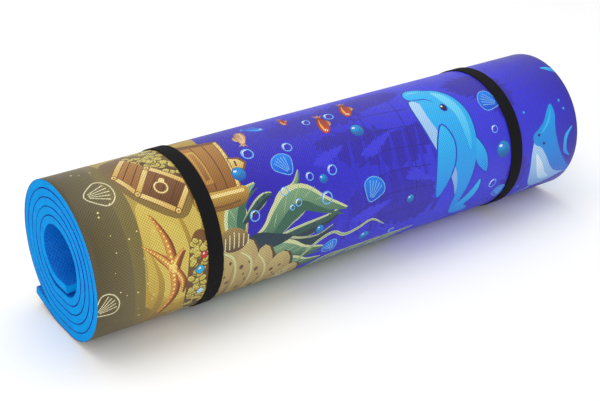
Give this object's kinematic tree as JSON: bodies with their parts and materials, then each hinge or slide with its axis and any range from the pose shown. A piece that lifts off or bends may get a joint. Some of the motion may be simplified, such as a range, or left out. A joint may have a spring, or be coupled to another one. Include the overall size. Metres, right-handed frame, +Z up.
{
  "type": "foam sleeping pad",
  "caption": "Rolled closed-cell foam sleeping pad with a printed outer film, a free outer end that springs off the roll, and sewn elastic straps holding it.",
  "frame": {"origin": "middle of the strapped roll's bounding box, on the plane it rests on", "axes": "+X along the roll, +Y towards the side where the free outer end springs off, +Z up"},
  "size_m": [0.6, 0.1594, 0.1573],
  "materials": {
    "foam": "closed-cell polyethylene foam, azure, fine cells on the cut edges and an embossed back",
    "printed_film": "satin laminated film with a fine embossed grid and an underwater print",
    "elastic_webbing": "matt black woven elastic",
    "sewing_thread": "black polyester thread"
  },
  "bodies": {
    "pad_roll": {"foam_pad": "foam", "printed_film": "printed_film"},
    "left_strap": {"strap_left": "elastic_webbing", "strap_left_stitching": "sewing_thread"},
    "right_strap": {"strap_right": "elastic_webbing", "strap_right_stitching": "sewing_thread"}
  },
  "joints": [
    {"name": "left_strap_slide", "type": "slide", "parent": "pad_roll", "child": "left_strap", "axis": [1, 0, 0], "range_m": [-0.15, 0.16]},
    {"name": "right_strap_slide", "type": "slide", "parent": "pad_roll", "child": "right_strap", "axis": [1, 0, 0], "range_m": [-0.18, 0.12]}
  ]
}
